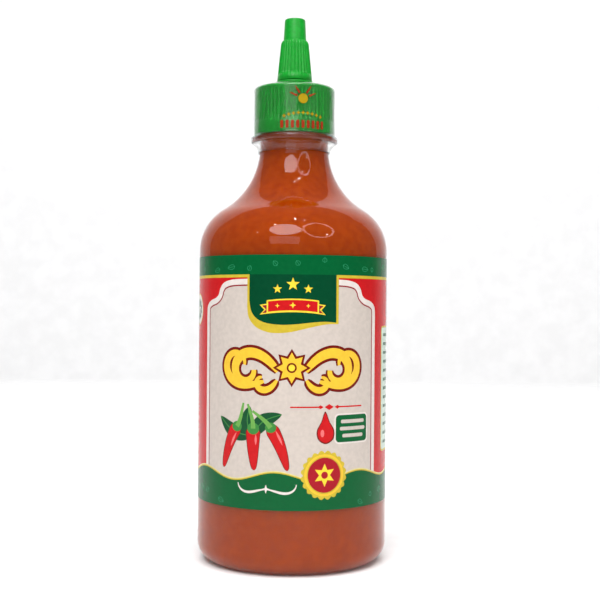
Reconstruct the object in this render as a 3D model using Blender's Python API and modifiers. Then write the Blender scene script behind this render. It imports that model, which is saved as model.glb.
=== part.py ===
"""Bottle of hot sauce: clear bottle, sauce, wrap label, ribbed cap, twist tip and seal film.

The bottle stands on z = 0 with its axis on Z. The middle of its label faces -Y.
"""
import math

import bmesh
import bpy

MM = 0.001

# Air left between pieces that touch on the real bottle
GAP = 0.3 * MM

# Bottle body and base
BODY_RADIUS = 34.0 * MM
WALL = 1.3 * MM
BASE_CORNER = 7.0 * MM
STANDING_RING_INNER = 23.0 * MM
BASE_DOME = 2.5 * MM

# Shoulder: a convex arc that starts on the body, then a hollow arc that ends on the neck
SHOULDER_FOOT = 111.2 * MM
SHOULDER_ARC = 17.4 * MM
NECK_ARC = 27.5 * MM
NECK_RADIUS = 12.4 * MM

# Neck finish under the cap
NECK_RING_RADIUS = 15.5 * MM
NECK_RING_BOTTOM = 150.4 * MM
NECK_RING_TOP = 152.4 * MM
NECK_RING_BEVEL = 0.4 * MM
MOUTH = 167.4 * MM
SAUCE_LEVEL = 161.0 * MM

# Wrap label, let into the body
LABEL_BOTTOM = 22.8 * MM
LABEL_TOP = 108.6 * MM
LABEL_THICKNESS = 0.4 * MM
LABEL_PROUD = 0.05 * MM

# Cap
CAP_RADIUS = 14.6 * MM
CAP_BOTTOM = 153.2 * MM
CAP_BAND_TOP = 157.4 * MM
CAP_EDGE_Z = 169.5 * MM
CAP_EDGE_ROUNDING = 1.0 * MM
CAP_SLOPE = math.radians(16)
COLLAR_RADIUS = 7.3 * MM
COLLAR_TOP = 172.9 * MM
SKIRT_BORE = 12.9 * MM
RIB_COUNT = 60
RIB_RADIUS = 14.45 * MM
RIB_GROOVE_DEPTH = 0.4 * MM
RIB_MARGIN = 0.22 * MM

# Spout that rises from the cap into the tip
SPOUT_FOOT_RADIUS = 4.4 * MM
SPOUT_RADIUS = 2.6 * MM
SPOUT_STRAIGHT_FROM = 186.0 * MM
SPOUT_TOP = 192.4 * MM
PIN_RADIUS = 0.9 * MM
PIN_TOP = 195.5 * MM

# Twist tip
TIP_BOTTOM = 173.3 * MM
TIP_FOOT_RADIUS = 6.42 * MM
TIP_BAND_TOP = 175.9 * MM
TIP_STEP_BOTTOM = 186.0 * MM
TIP_STEP_TOP = 188.2 * MM
TIP_STEP_RADIUS = 5.16 * MM
TIP_WAIST_RADIUS = 4.16 * MM
TIP_TOP = 196.0 * MM
TIP_TOP_RADIUS = 3.78 * MM
TIP_EDGE_ROUNDING = 0.5 * MM
TIP_HOLE_RADIUS = 1.25 * MM
TIP_INNER_TOP = 193.0 * MM
TIP_CLEARANCE = 0.5 * MM
FLUTE_COUNT = 32
FLUTE_DEPTH = 0.3 * MM
FLUTE_MARGIN = 0.16 * MM

# Shrink film over the cap, the neck ring and the top of the neck
FILM_THICKNESS = 0.2 * MM
FILM_MOUTH_RADIUS = 8.2 * MM
FILM_HEM = 146.0 * MM
FILM_FOLD = 148.2 * MM

# Sides round each turned piece
BODY_STEPS = 48
FILM_STEPS = 40


def arc(centre, radius, start_deg, end_deg, steps):
    """Points along an arc in the profile plane, from start to end."""
    points = []
    for i in range(steps + 1):
        angle = math.radians(start_deg + (end_deg - start_deg) * i / steps)
        points.append((centre[0] + radius * math.cos(angle), centre[1] + radius * math.sin(angle)))
    return points


def shoulder(inset):
    """The two shoulder arcs, from the neck down to the body, moved inwards by inset."""
    low_centre = (BODY_RADIUS - SHOULDER_ARC, SHOULDER_FOOT)
    across = NECK_RADIUS + NECK_ARC - low_centre[0]
    turn = math.acos(across / (SHOULDER_ARC + NECK_ARC))
    high_centre = (NECK_RADIUS + NECK_ARC, SHOULDER_FOOT + (SHOULDER_ARC + NECK_ARC) * math.sin(turn))
    turn_deg = math.degrees(turn)
    hollow = arc(high_centre, NECK_ARC + inset, 180, 180 + turn_deg, 7)
    convex = arc(low_centre, SHOULDER_ARC - inset, turn_deg, 0, 7)
    return hollow + convex[1:]


def base(inset):
    """Corner, standing ring and domed middle of the base, moved inwards by inset."""
    corner_centre = (BODY_RADIUS - BASE_CORNER, BASE_CORNER)
    corner = arc(corner_centre, BASE_CORNER - inset, 0, -90, 5)
    dome = []
    for part in (1.0, 0.7, 0.35):
        radius = STANDING_RING_INNER * part
        dome.append((radius, inset + BASE_DOME * (1 - part ** 2)))
    return corner + dome + [(0, inset + BASE_DOME)]


def label_recess():
    """The shallow step in the body that holds the label."""
    floor = BODY_RADIUS + LABEL_PROUD - LABEL_THICKNESS - GAP
    top = LABEL_TOP + GAP
    bottom = LABEL_BOTTOM - GAP
    return [(BODY_RADIUS, top), (floor, top), (floor, bottom), (BODY_RADIUS, bottom)]


def bottle_profile():
    """From the middle of the floor up the inside, over the mouth and down the outside."""
    inside = shoulder(WALL) + base(WALL)
    mouth = [(NECK_RADIUS - WALL, MOUTH), (NECK_RADIUS, MOUTH)]
    ring = [
        (NECK_RADIUS, NECK_RING_TOP),
        (NECK_RING_RADIUS - NECK_RING_BEVEL, NECK_RING_TOP),
        (NECK_RING_RADIUS, NECK_RING_TOP - NECK_RING_BEVEL),
        (NECK_RING_RADIUS, NECK_RING_BOTTOM + NECK_RING_BEVEL),
        (NECK_RING_RADIUS - NECK_RING_BEVEL, NECK_RING_BOTTOM),
        (NECK_RADIUS, NECK_RING_BOTTOM),
    ]
    return inside[::-1] + mouth + ring + shoulder(0) + label_recess() + base(0)


def sauce_profile():
    """The sauce fills the bottle from its floor to its level in the neck."""
    inset = WALL + GAP
    level = [(0, SAUCE_LEVEL), (NECK_RADIUS - inset, SAUCE_LEVEL)]
    return level + shoulder(inset) + base(inset)


def label_profile():
    """A closed sleeve, slightly proud of the body."""
    outer = BODY_RADIUS + LABEL_PROUD
    inner = outer - LABEL_THICKNESS
    return [(outer, LABEL_TOP), (outer, LABEL_BOTTOM), (inner, LABEL_BOTTOM), (inner, LABEL_TOP)]


def cap_shoulder(clearance):
    """Rounded edge between the cap's slope and its skirt, from the slope downwards."""
    centre = (CAP_RADIUS - CAP_EDGE_ROUNDING, CAP_EDGE_Z)
    return arc(centre, CAP_EDGE_ROUNDING + clearance, 90 - math.degrees(CAP_SLOPE), 0, 3)


def slope_height(radius, clearance):
    """Height of the cap's sloping top at a radius, moved out by clearance."""
    start = cap_shoulder(clearance)[0]
    return start[1] + (start[0] - radius) * math.tan(CAP_SLOPE)


def cap_profile():
    """From the pin's top down the spout, over the sloping top, down the skirt and up inside."""
    spout = [
        (0, PIN_TOP),
        (PIN_RADIUS, PIN_TOP),
        (PIN_RADIUS, SPOUT_TOP),
        (SPOUT_RADIUS, SPOUT_TOP),
        (SPOUT_RADIUS, SPOUT_STRAIGHT_FROM),
        (SPOUT_FOOT_RADIUS, COLLAR_TOP),
    ]
    collar = [(COLLAR_RADIUS, COLLAR_TOP), (COLLAR_RADIUS, slope_height(COLLAR_RADIUS, 0))]
    skirt = [
        (RIB_RADIUS, CAP_EDGE_Z - GAP),
        (RIB_RADIUS, CAP_BAND_TOP + GAP),
        (CAP_RADIUS, CAP_BAND_TOP),
        (CAP_RADIUS, CAP_BOTTOM),
    ]
    inside = [(SKIRT_BORE, CAP_BOTTOM), (SKIRT_BORE, MOUTH + GAP), (0, MOUTH + GAP)]
    return spout + collar + cap_shoulder(0) + skirt + inside


def tip_profile():
    """Closed outline of the hollow tip: down its outside, then up its bore."""
    edge_centre = (TIP_TOP_RADIUS - TIP_EDGE_ROUNDING, TIP_TOP - TIP_EDGE_ROUNDING)
    edge = arc(edge_centre, TIP_EDGE_ROUNDING, 90, 0, 3)
    step_width = TIP_STEP_RADIUS - TIP_WAIST_RADIUS
    step_height = TIP_STEP_TOP - TIP_STEP_BOTTOM
    step = []
    for i in range(4):
        angle = math.radians(90 - 30 * i)
        radius = TIP_WAIST_RADIUS + step_width * math.cos(angle)
        step.append((radius, TIP_STEP_BOTTOM + step_height * math.sin(angle)))
    widening = (TIP_FOOT_RADIUS - TIP_STEP_RADIUS) / (TIP_STEP_BOTTOM - TIP_BOTTOM)
    band_radius = TIP_FOOT_RADIUS - widening * (TIP_BAND_TOP - TIP_BOTTOM)
    foot = [(band_radius, TIP_BAND_TOP), (TIP_FOOT_RADIUS, TIP_BOTTOM)]
    bore = [
        (SPOUT_FOOT_RADIUS + TIP_CLEARANCE, TIP_BOTTOM),
        (SPOUT_RADIUS + TIP_CLEARANCE, SPOUT_STRAIGHT_FROM),
        (SPOUT_RADIUS + TIP_CLEARANCE, TIP_INNER_TOP),
        (TIP_HOLE_RADIUS, TIP_INNER_TOP),
        (TIP_HOLE_RADIUS, TIP_TOP),
    ]
    return edge + step + foot + bore


def film_line(clearance):
    """One face of the film, from the cap's top down to the hem on the neck."""
    mouth = [(FILM_MOUTH_RADIUS, slope_height(FILM_MOUTH_RADIUS, clearance))]
    over_ring = NECK_RING_RADIUS + clearance
    below = [
        (CAP_RADIUS + clearance, NECK_RING_TOP + 4 * GAP),
        (over_ring, NECK_RING_TOP + GAP),
        (over_ring, NECK_RING_BOTTOM - GAP / 2),
        (NECK_RADIUS + 2 * GAP + clearance, FILM_FOLD),
        (NECK_RADIUS + GAP + clearance, FILM_HEM),
    ]
    return mouth + cap_shoulder(clearance) + below


def film_profile():
    """Closed outline of the film: down its outer face and up its inner face."""
    return film_line(GAP + FILM_THICKNESS) + film_line(GAP)[::-1]


def make_material(name, colour, roughness, transmission=0.0, ior=1.5):
    """A Principled material with one colour, given in linear light."""
    material = bpy.data.materials.new(name)
    material.use_nodes = True
    shader = material.node_tree.nodes["Principled BSDF"]
    shader.inputs["Base Color"].default_value = (*colour, 1.0)
    shader.inputs["Roughness"].default_value = roughness
    shader.inputs["Metallic"].default_value = 0.0
    shader.inputs["Transmission Weight"].default_value = transmission
    shader.inputs["IOR"].default_value = ior
    material.diffuse_color = (*colour, 1.0)
    return material


def turned(name, profile, steps, material, collection, closed=False):
    """Turn a profile in the XZ plane once round Z and keep the result as a plain mesh."""
    count = len(profile)
    edges = [(i, i + 1) for i in range(count - 1)]
    if closed:
        edges.append((count - 1, 0))
    line = bpy.data.meshes.new(name + "_profile")
    line.from_pydata([(x, 0.0, z) for x, z in profile], edges, [])
    piece = bpy.data.objects.new(name, line)
    collection.objects.link(piece)
    screw = piece.modifiers.new("Turn", "SCREW")
    screw.axis = "Z"
    screw.angle = 2 * math.pi
    screw.steps = steps
    screw.render_steps = steps
    screw.use_merge_vertices = True
    screw.merge_threshold = 0.001 * MM
    bpy.context.view_layer.update()
    seen = piece.evaluated_get(bpy.context.evaluated_depsgraph_get())
    mesh = bpy.data.meshes.new_from_object(seen)
    piece.modifiers.clear()
    piece.data = mesh
    bpy.data.meshes.remove(line)
    mesh.name = name
    mesh.materials.clear()
    mesh.materials.append(material)
    return piece


def press_grooves(piece, low, high, inner_radius, margin, depth):
    """Press one groove into each outer face between two heights, which leaves a rib between grooves."""
    shape = bmesh.new()
    shape.from_mesh(piece.data)
    facing = []
    for face in shape.faces:
        middle = face.calc_center_median()
        radius = math.hypot(middle.x, middle.y)
        if low < middle.z < high and radius > inner_radius:
            facing.append(face)
    bmesh.ops.inset_individual(shape, faces=facing, thickness=margin, depth=-depth, use_even_offset=True)
    shape.to_mesh(piece.data)
    shape.free()


def shade(piece):
    """Smooth shading with crisp edges where the surface turns sharply."""
    piece.data.shade_smooth()
    piece.data.set_sharp_from_angle(angle=math.radians(32))


def build():
    for old in list(bpy.data.objects):
        bpy.data.objects.remove(old, do_unlink=True)
    collection = bpy.data.collections.new("Hot_Sauce_Bottle")
    bpy.context.scene.collection.children.link(collection)

    clear_plastic = make_material("Clear plastic", (0.95, 0.96, 0.96), 0.04, transmission=1.0, ior=1.57)
    clear_film = make_material("Clear film", (0.97, 0.97, 0.97), 0.08, transmission=1.0, ior=1.5)
    red_sauce = make_material("Red sauce", (0.45, 0.052, 0.006), 0.35)
    green_plastic = make_material("Green plastic", (0.0, 0.24, 0.025), 0.35)
    cream_print = make_material("Cream print", (0.66, 0.60, 0.56), 0.4)

    bottle = turned("bottle", bottle_profile(), BODY_STEPS, clear_plastic, collection)
    sauce = turned("sauce", sauce_profile(), BODY_STEPS, red_sauce, collection)
    label = turned("label", label_profile(), BODY_STEPS, cream_print, collection, closed=True)

    cap = turned("screw_cap", cap_profile(), RIB_COUNT, green_plastic, collection)
    inside_ribs = SKIRT_BORE + GAP
    press_grooves(cap, CAP_BAND_TOP + GAP, CAP_EDGE_Z - GAP, inside_ribs, RIB_MARGIN, RIB_GROOVE_DEPTH)

    tip = turned("twist_tip", tip_profile(), FLUTE_COUNT, green_plastic, collection, closed=True)
    press_grooves(tip, TIP_BAND_TOP, TIP_STEP_BOTTOM, TIP_STEP_RADIUS, FLUTE_MARGIN, FLUTE_DEPTH)

    film = turned("seal_band", film_profile(), FILM_STEPS, clear_film, collection, closed=True)

    for piece in (bottle, sauce, label, cap, tip, film):
        shade(piece)


build()
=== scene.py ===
import math
import random

import bmesh
import bpy
import mathutils
import numpy
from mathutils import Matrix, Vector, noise


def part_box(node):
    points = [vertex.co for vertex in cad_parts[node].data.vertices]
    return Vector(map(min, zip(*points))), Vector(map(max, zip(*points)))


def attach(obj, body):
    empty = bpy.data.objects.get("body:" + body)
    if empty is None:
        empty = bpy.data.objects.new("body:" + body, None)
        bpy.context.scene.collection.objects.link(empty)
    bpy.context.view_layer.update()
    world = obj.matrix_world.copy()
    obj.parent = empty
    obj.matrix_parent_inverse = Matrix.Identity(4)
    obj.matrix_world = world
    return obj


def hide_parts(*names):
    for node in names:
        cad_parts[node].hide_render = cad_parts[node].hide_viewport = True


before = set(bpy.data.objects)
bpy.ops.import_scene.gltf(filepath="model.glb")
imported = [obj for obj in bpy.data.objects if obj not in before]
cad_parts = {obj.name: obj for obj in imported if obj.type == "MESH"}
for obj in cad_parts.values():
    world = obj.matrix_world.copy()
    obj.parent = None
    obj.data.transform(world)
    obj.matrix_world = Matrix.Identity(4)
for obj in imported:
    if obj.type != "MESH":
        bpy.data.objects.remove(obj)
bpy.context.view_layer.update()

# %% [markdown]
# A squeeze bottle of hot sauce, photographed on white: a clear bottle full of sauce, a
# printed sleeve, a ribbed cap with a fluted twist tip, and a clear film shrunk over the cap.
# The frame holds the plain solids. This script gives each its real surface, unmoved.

MM = 0.001

# %% [markdown]
# The photograph was taken from about 40 cm, a little below the middle of the bottle, almost
# level. The distance and the lens come from how much narrower the rings look at the ends,
# and the small tilt from the way the bottle leans.

# %% The camera
EYE_HEIGHT = 90.3 * MM
EYE_DISTANCE = 406.1 * MM
EYE_ASIDE = 2.6 * MM
LENS = 66.76
LOOK_UP = 0.0082
LEAN = -0.0077

bpy.ops.object.select_all(action="DESELECT")
bpy.ops.object.camera_add(
    location=(EYE_ASIDE, -EYE_DISTANCE, EYE_HEIGHT),
    rotation=(math.pi / 2 + LOOK_UP, LEAN, 0),
)
camera = bpy.context.object
camera.name = "camera"
camera.data.lens = LENS
camera.data.sensor_width = 36
camera.data.clip_start = 0.01
camera.data.clip_end = 20
bpy.context.scene.camera = camera
print("camera", LENS, "mm at", tuple(round(x, 3) for x in camera.location))

# %% [markdown]
# Materials are node trees. Each one below is a Principled shader whose even values are set
# on its own sockets. A noise texture on object coordinates breaks up colour, roughness or
# surface, so that nothing is one flat value.

# %% Helpers for materials
RAMP_ENDS = (0.35, 0.65)
NOISE_LOW, NOISE_HIGH = 0.3, 0.7


def linear(red, green, blue):
    """An sRGB colour given as 0 to 255, turned into linear light."""
    steps = []
    for value in (red, green, blue):
        share = value / 255
        steps.append(share / 12.92 if share <= 0.04045 else ((share + 0.055) / 1.055) ** 2.4)
    return steps


def new_material(name, **even_values):
    """A Principled material. Even values name its sockets, with _ for spaces."""
    material = bpy.data.materials.new(name)
    material.use_nodes = True
    shader = material.node_tree.nodes["Principled BSDF"]
    for socket, value in even_values.items():
        shader.inputs[socket.replace("_", " ")].default_value = value
    return material, shader


def object_noise(material, scale, detail=2.0, stretch=(1, 1, 1)):
    """A noise pattern on object coordinates, with its scale per metre."""
    nodes, links = material.node_tree.nodes, material.node_tree.links
    place = nodes.new("ShaderNodeTexCoord")
    mapping = nodes.new("ShaderNodeMapping")
    mapping.inputs["Scale"].default_value = stretch
    pattern = nodes.new("ShaderNodeTexNoise")
    pattern.inputs["Scale"].default_value = scale
    pattern.inputs["Detail"].default_value = detail
    links.new(place.outputs["Object"], mapping.inputs["Vector"])
    links.new(mapping.outputs["Vector"], pattern.inputs["Vector"])
    return pattern.outputs["Fac"]


def vary_colour(material, shader, pattern, low, high):
    """Base colour that goes from low to high with a noise pattern."""
    ramp = material.node_tree.nodes.new("ShaderNodeValToRGB")
    for stop, position, colour in zip(ramp.color_ramp.elements, RAMP_ENDS, (low, high)):
        stop.position = position
        stop.color = (*colour, 1)
    material.node_tree.links.new(pattern, ramp.inputs["Fac"])
    material.node_tree.links.new(ramp.outputs["Color"], shader.inputs["Base Color"])


def vary_roughness(material, shader, pattern, low, high):
    """Roughness that goes from low to high with a noise pattern."""
    remap = material.node_tree.nodes.new("ShaderNodeMapRange")
    remap.inputs["From Min"].default_value = NOISE_LOW
    remap.inputs["From Max"].default_value = NOISE_HIGH
    remap.inputs["To Min"].default_value = low
    remap.inputs["To Max"].default_value = high
    material.node_tree.links.new(pattern, remap.inputs["Value"])
    material.node_tree.links.new(remap.outputs["Result"], shader.inputs["Roughness"])


def bump(material, shader, height, depth, strength=1.0):
    """Surface relief from a height pattern, with its depth in metres."""
    relief = material.node_tree.nodes.new("ShaderNodeBump")
    relief.inputs["Distance"].default_value = depth
    relief.inputs["Strength"].default_value = strength
    material.node_tree.links.new(height, relief.inputs["Height"])
    material.node_tree.links.new(relief.outputs["Normal"], shader.inputs["Normal"])


def wear(piece, *materials):
    """Gives a piece its materials, in slot order."""
    for material in materials:
        piece.data.materials.append(material)

# %% [markdown]
# The stage is a white sweep: a floor that curves up into a wall, so that no horizon shows.
# It is a plane whose back edge is extruded upwards, with the fold rounded by a bevel. It is
# no wider, because its edges show in the glossy pieces, where their white rims start.

# %% The white sweep
SWEEP_WIDTH = 3.4
SWEEP_BACK = 1.0
SWEEP_FRONT = -0.45
SWEEP_HEIGHT = 2.0
SWEEP_FOLD = 0.35


def select_edges(piece, wanted):
    """Selects the edges whose two ends are both wanted."""
    bpy.ops.mesh.select_all(action="DESELECT")
    mesh = bmesh.from_edit_mesh(piece.data)
    for edge in mesh.edges:
        edge.select = all(wanted(v.co) for v in edge.verts)
    bmesh.update_edit_mesh(piece.data)


bpy.ops.object.select_all(action="DESELECT")
bpy.ops.mesh.primitive_plane_add(size=1, location=(0, (SWEEP_BACK + SWEEP_FRONT) / 2, 0))
sweep = bpy.context.object
sweep.name = "sweep"
bpy.ops.object.mode_set(mode="EDIT")
bpy.ops.mesh.select_all(action="SELECT")
bpy.ops.transform.resize(value=(SWEEP_WIDTH, SWEEP_BACK - SWEEP_FRONT, 1))
select_edges(sweep, lambda spot: spot.y > 0)
bpy.ops.mesh.extrude_region_move(TRANSFORM_OT_translate={"value": (0, 0, SWEEP_HEIGHT)})
select_edges(sweep, lambda spot: spot.y > 0 and abs(spot.z) < MM)
bpy.ops.mesh.bevel(offset=SWEEP_FOLD, segments=16, affect="EDGES")
bpy.ops.object.mode_set(mode="OBJECT")
bpy.ops.object.shade_smooth()

paper, paper_shader = new_material("white_paper", Roughness=0.6)
paper_grain = object_noise(paper, 60)
vary_colour(paper, paper_shader, paper_grain, (0.86, 0.86, 0.86), (0.9, 0.9, 0.9))
wear(sweep, paper)
print("sweep", SWEEP_WIDTH, "m wide")

# %% [markdown]
# An umbrella above the camera shows as a disc on the shoulder. A window behind the camera
# lights the label and the cap, and a fill their right side. A bank overhead keeps the floor
# white, and a long one washes the paper wall. These last three are hidden from reflections,
# where they would lie like a veil. Six small lamps give sparks.

# %% The lamps
LAMP_TARGET = (0, 0, 0.11)
WASH_PLACE = (0, -0.2, 1.8)
WASH_TILT = 62
SPARK_PLACES = ((-30, 52), (22, 64), (44, 30), (-48, 33), (4, 70), (30, 52))


def aim(lamp, distance, azimuth, elevation):
    """Puts a lamp round the target, facing it. Azimuth 0 is the camera's side."""
    turn, rise = math.radians(azimuth), math.radians(elevation)
    away = mathutils.Vector((
        math.sin(turn) * math.cos(rise),
        -math.cos(turn) * math.cos(rise),
        math.sin(rise),
    ))
    lamp.location = mathutils.Vector(LAMP_TARGET) + away * distance
    lamp.rotation_euler = away.to_track_quat("Z", "Y").to_euler()


def area_lamp(name, shape, size, power, distance, azimuth, elevation):
    """An area lamp, with its size in metres and its power in watts."""
    bpy.ops.object.light_add(type="AREA")
    lamp = bpy.context.object
    lamp.name = name
    lamp.data.shape = shape
    lamp.data.size, lamp.data.size_y = size
    lamp.data.energy = power
    aim(lamp, distance, azimuth, elevation)
    return lamp


area_lamp("umbrella", "ELLIPSE", (0.62, 0.46), 5.6, 1.0, -11, 42)
area_lamp("window", "RECTANGLE", (0.62, 0.3), 0.9, 1.0, -10, 18)
fill = area_lamp("fill", "RECTANGLE", (0.9, 0.9), 1.2, 1.4, 48, 20)
overhead = area_lamp("overhead", "RECTANGLE", (2.6, 2.2), 18, 1.9, 0, 84)
backdrop_wash = area_lamp("backdrop_wash", "RECTANGLE", (2.6, 0.5), 22, 1.5, 0, 60)
backdrop_wash.location = WASH_PLACE
backdrop_wash.rotation_euler = (math.radians(WASH_TILT), 0, 0)
for lamp in (fill, overhead, backdrop_wash):
    lamp.visible_glossy = False
for number, (azimuth, elevation) in enumerate(SPARK_PLACES):
    area_lamp("spark_%d" % number, "DISK", (0.03, 0.03), 0.35, 1.0, azimuth, elevation)

# %% [markdown]
# An area lamp can't be a ring, so the ring lamp to the right is a glowing torus. The room is
# an even grey, and the Standard view transform keeps white paper white.

# %% The ring lamp and the room
RING_RADIUS = 0.29
RING_TUBE = 0.022
RING_GLOW = 5.0

bpy.ops.object.select_all(action="DESELECT")
bpy.ops.mesh.primitive_torus_add(
    major_radius=RING_RADIUS, minor_radius=RING_TUBE, major_segments=64, minor_segments=12
)
ring_lamp = bpy.context.object
ring_lamp.name = "ring_lamp"
aim(ring_lamp, 1.0, 36, 40)
glow, glow_shader = new_material("lamp_glow", Emission_Strength=RING_GLOW)
glow_shader.inputs["Emission Color"].default_value = (1.0, 0.93, 0.86, 1)
wear(ring_lamp, glow)

room = bpy.data.worlds.new("grey_room")
room.use_nodes = True
room.node_tree.nodes["Background"].inputs["Color"].default_value = (0.22, 0.22, 0.23, 1)
bpy.context.scene.world = room
bpy.context.scene.view_settings.view_transform = "Standard"
print("ring lamp", 2 * RING_RADIUS, "m across")

# %% [markdown]
# Almost every piece here is turned. One vertex is extruded from point to point down the
# outline, and the spin operator sweeps that line round the axis. A Screw modifier could do
# the same, but the operator shows the steps as a hand would take them.

# %% Drawing an outline and spinning it
def swung(centre, radius, angle):
    """The point at a radius and an angle from a centre."""
    return centre[0] + radius * math.cos(angle), centre[1] + radius * math.sin(angle)


def arc(centre, radius, start_deg, end_deg, steps):
    """Points along an arc, from start to end."""
    span = end_deg - start_deg
    angles = [math.radians(start_deg + span * i / steps) for i in range(steps + 1)]
    return [swung(centre, radius, angle) for angle in angles]


def turned(name, outline, steps, crease_deg=40):
    """Extrudes one vertex along an outline of (radius, height) points, then spins it."""
    bpy.ops.object.select_all(action="DESELECT")
    bpy.ops.mesh.primitive_plane_add(size=MM)
    piece = bpy.context.object
    piece.name = name
    piece.data.name = name
    bpy.ops.object.mode_set(mode="EDIT")
    bpy.ops.mesh.select_mode(type="VERT")
    bpy.ops.mesh.select_all(action="SELECT")
    bpy.ops.mesh.merge(type="CENTER")
    bpy.ops.transform.translate(value=(outline[0][0], 0, outline[0][1]))
    for (x0, z0), (x1, z1) in zip(outline, outline[1:]):
        step = (x1 - x0, 0, z1 - z0)
        bpy.ops.mesh.extrude_region_move(TRANSFORM_OT_translate={"value": step})
    bpy.ops.mesh.select_all(action="SELECT")
    bpy.ops.mesh.spin(steps=steps, angle=2 * math.pi, center=(0, 0, 0), axis=(0, 0, 1))
    bpy.ops.mesh.select_all(action="SELECT")
    bpy.ops.mesh.remove_doubles(threshold=0.001 * MM)
    bpy.ops.mesh.normals_make_consistent(inside=False)
    bpy.ops.object.mode_set(mode="OBJECT")
    bpy.ops.object.shade_smooth_by_angle(angle=math.radians(crease_deg))
    print(name, "has", len(piece.data.polygons), "faces")
    return piece


def stands_for(piece, slot, *nodes):
    """Hangs a piece on the part's one body, in place of plain nodes."""
    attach(piece, "root")
    if nodes:
        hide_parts(*nodes)

# %% [markdown]
# The bottle is blown from clear plastic. Its shoulder is two arcs that meet at one slope,
# a convex one on the body and a hollow one below the neck. The same arcs, moved inwards by
# the wall's thickness, make the inside, so the wall is even.

# %% The bottle's outline
low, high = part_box("bottle")
BODY_RADIUS = high.x
MOUTH = high.z
MOUTH_ROUNDING = 0.3 * MM
WALL = 1.3 * MM
BASE_CORNER = 7.0 * MM
STANDING_RING_INNER = 23.0 * MM
BASE_DOME = 2.5 * MM
DOME_STEPS = 8
SHOULDER_FOOT = 111.2 * MM
SHOULDER_ARC = 17.4 * MM
NECK_ARC = 27.5 * MM
NECK_RADIUS = 12.4 * MM
NECK_RING_RADIUS = 15.5 * MM
NECK_RING_BOTTOM = 150.4 * MM
NECK_RING_TOP = 152.4 * MM
NECK_RING_ROUNDING = 0.6 * MM


def shoulder(inset, steps=24):
    """The two shoulder arcs, from the neck downwards, moved inwards by inset."""
    low_centre = (BODY_RADIUS - SHOULDER_ARC, SHOULDER_FOOT)
    across = NECK_RADIUS + NECK_ARC - low_centre[0]
    turn = math.acos(across / (SHOULDER_ARC + NECK_ARC))
    rise = (SHOULDER_ARC + NECK_ARC) * math.sin(turn)
    high_centre = (NECK_RADIUS + NECK_ARC, SHOULDER_FOOT + rise)
    hollow = arc(high_centre, NECK_ARC + inset, 180, 180 + math.degrees(turn), steps)
    convex = arc(low_centre, SHOULDER_ARC - inset, math.degrees(turn), 0, steps)
    return hollow + convex[1:]


def base(inset, steps=12):
    """Corner, standing ring and domed middle, moved inwards by inset."""
    centre = (BODY_RADIUS - BASE_CORNER, BASE_CORNER)
    corner = arc(centre, BASE_CORNER - inset, 0, -90, steps)
    dome = []
    for i in range(DOME_STEPS + 1):
        share = 1 - i / DOME_STEPS
        dome.append((STANDING_RING_INNER * share, inset + BASE_DOME * (1 - share ** 2) ** 2))
    return corner + dome


def finish_outline():
    """The mouth and the neck's ring, downwards."""
    mouth = arc((NECK_RADIUS - MOUTH_ROUNDING, MOUTH - MOUTH_ROUNDING), MOUTH_ROUNDING, 90, 0, 4)
    ring_edge = NECK_RING_RADIUS - NECK_RING_ROUNDING
    upper = arc((ring_edge, NECK_RING_TOP - NECK_RING_ROUNDING), NECK_RING_ROUNDING, 90, 0, 5)
    lower = arc((ring_edge, NECK_RING_BOTTOM + NECK_RING_ROUNDING), NECK_RING_ROUNDING, 0, -90, 5)
    root = [(NECK_RADIUS, NECK_RING_TOP)]
    under = [(NECK_RADIUS, NECK_RING_BOTTOM)]
    return [(NECK_RADIUS - WALL, MOUTH)] + mouth + root + upper + lower + under


outside = finish_outline() + shoulder(0) + base(0)
inside = shoulder(WALL) + base(WALL)
print("bottle", round((high.z - low.z) / MM, 1), "mm tall, outline of", len(outside + inside), "points")

# %% [markdown]
# The line runs up the inside, over the mouth and down the outside. It starts and ends on the
# axis, so the spin closes it into one solid wall.

# %% Spinning the bottle
bottle_piece = turned("clear_bottle", inside[::-1] + outside, 160)
stands_for(bottle_piece, "clear_plastic", "bottle")

# %% [markdown]
# The sauce wets the whole wall. Its surface sits a hair inside the plastic, so that light
# goes straight from plastic to sauce, which gives the deep colour of a full bottle.

# %% The sauce
INTO_WALL = 0.08 * MM
sauce_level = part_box("sauce")[1].z
wetted = WALL - INTO_WALL
sauce_outline = [(0, sauce_level), (NECK_RADIUS - wetted, sauce_level)]
sauce_outline += shoulder(wetted) + base(wetted)
sauce_piece = turned("hot_sauce", sauce_outline, 128)
stands_for(sauce_piece, "sauce", "sauce")
print("sauce fills up to", round(sauce_level / MM, 1), "mm")

# %% [markdown]
# Clear plastic is a Principled shader with full transmission. Blown plastic is never even,
# so a slow ripple bends its reflections, and a haze varies its polish. Its IOR is below the
# real one, about 1.5, because that calms the reflections.

# %% Clear plastic
clear_plastic, shader = new_material(
    "clear_blown_plastic", Roughness=0.02, IOR=1.38, Transmission_Weight=1.0,
    Specular_IOR_Level=0.13,
)
shader.inputs["Base Color"].default_value = (0.97, 0.975, 0.975, 1)
haze = object_noise(clear_plastic, 180, 4)
vary_roughness(clear_plastic, shader, haze, 0.005, 0.03)
ripple = object_noise(clear_plastic, 38, 1, stretch=(1, 1, 0.6))
bump(clear_plastic, shader, ripple, 0.25 * MM, 0.35)
wear(bottle_piece, clear_plastic)
print("bottle wears", clear_plastic.name)

# %% [markdown]
# The sauce is opaque. Real sauce holds fine pulp, so a small noise varies its colour. Its
# gloss is nearly off, because it wets the wall and no air lies between them.

# %% Orange-red sauce
sauce_red, shader = new_material(
    "orange_red_sauce", Roughness=0.5, IOR=1.4, Specular_IOR_Level=0.02
)
pulp = object_noise(sauce_red, 420, 5)
vary_colour(sauce_red, shader, pulp, linear(172, 63, 0), linear(184, 72, 2))
wear(sauce_piece, sauce_red)
print("sauce wears", sauce_red.name)

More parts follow.
